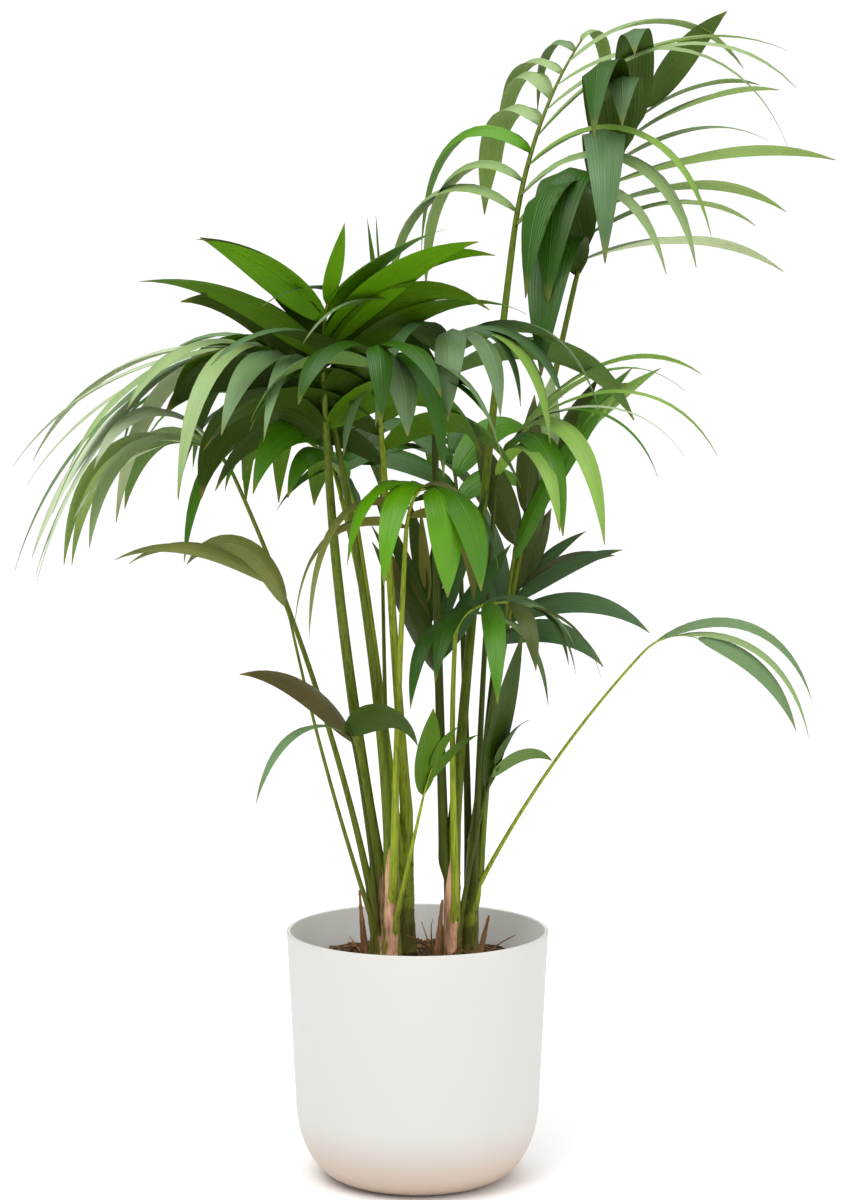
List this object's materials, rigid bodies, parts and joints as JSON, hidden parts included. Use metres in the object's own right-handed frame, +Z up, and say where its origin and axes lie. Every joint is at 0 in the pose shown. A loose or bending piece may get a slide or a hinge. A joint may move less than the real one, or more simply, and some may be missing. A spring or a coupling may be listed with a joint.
{
  "type": "potted kentia palm",
  "caption": "Clump of kentia palm with slender stalks and arching feather fronds in a round-bottomed planter filled with soil.",
  "frame": {"origin": "centre of the pot's flat underside, on the surface it stands on", "axes": "+Z up along the plant, +X to the right and +Y to the back as the plant is seen from its front"},
  "size_m": [0.8385, 0.5543, 1.1598],
  "materials": {
    "pot": "satin",
    "soil": "matte",
    "stem": "matte",
    "dry_base": "matte",
    "petiole": "satin",
    "leaf": "satin"
  },
  "bodies": {
    "root": {"pot": "pot", "soil": "soil", "stem_left": "stem", "stem_left_front": "stem", "stem_left_back": "stem", "stem_right_front": "stem", "stem_right_back": "stem", "dry_base_front": "dry_base", "dry_base_right": "dry_base", "dry_base_left": "dry_base", "main_left_petiole": "petiole", "crest_left_petiole": "petiole", "tall_front_petiole": "petiole", "tall_back_petiole": "petiole", "arch_left_petiole": "petiole", "low_left_petiole": "petiole", "reach_right_petiole": "petiole", "centre_right_petiole": "petiole", "centre_front_petiole": "petiole", "right_up_petiole": "petiole", "right_arch_petiole": "petiole", "lower_front_petiole": "petiole", "lower_right_petiole": "petiole", "inner_left_petiole": "petiole", "centre_back_petiole": "petiole", "spear_petiole": "petiole", "under_left_petiole": "petiole", "small_inner_petiole": "petiole", "small_right_petiole": "petiole", "back_left_petiole": "petiole", "back_right_petiole": "petiole", "back_low_petiole": "petiole", "main_left_blade": "leaf", "crest_left_blade": "leaf", "tall_front_blade": "leaf", "tall_back_blade": "leaf", "arch_left_blade": "leaf", "low_left_blade": "leaf", "reach_right_blade": "leaf", "centre_right_blade": "leaf", "centre_front_blade": "leaf", "right_up_blade": "leaf", "right_arch_blade": "leaf", "lower_front_blade": "leaf", "lower_right_blade": "leaf", "inner_left_blade": "leaf", "centre_back_blade": "leaf", "spear_blade": "leaf", "under_left_blade": "leaf", "small_inner_blade": "leaf", "small_right_blade": "leaf", "back_left_blade": "leaf", "back_right_blade": "leaf", "back_low_blade": "leaf"}
  },
  "joints": []
}
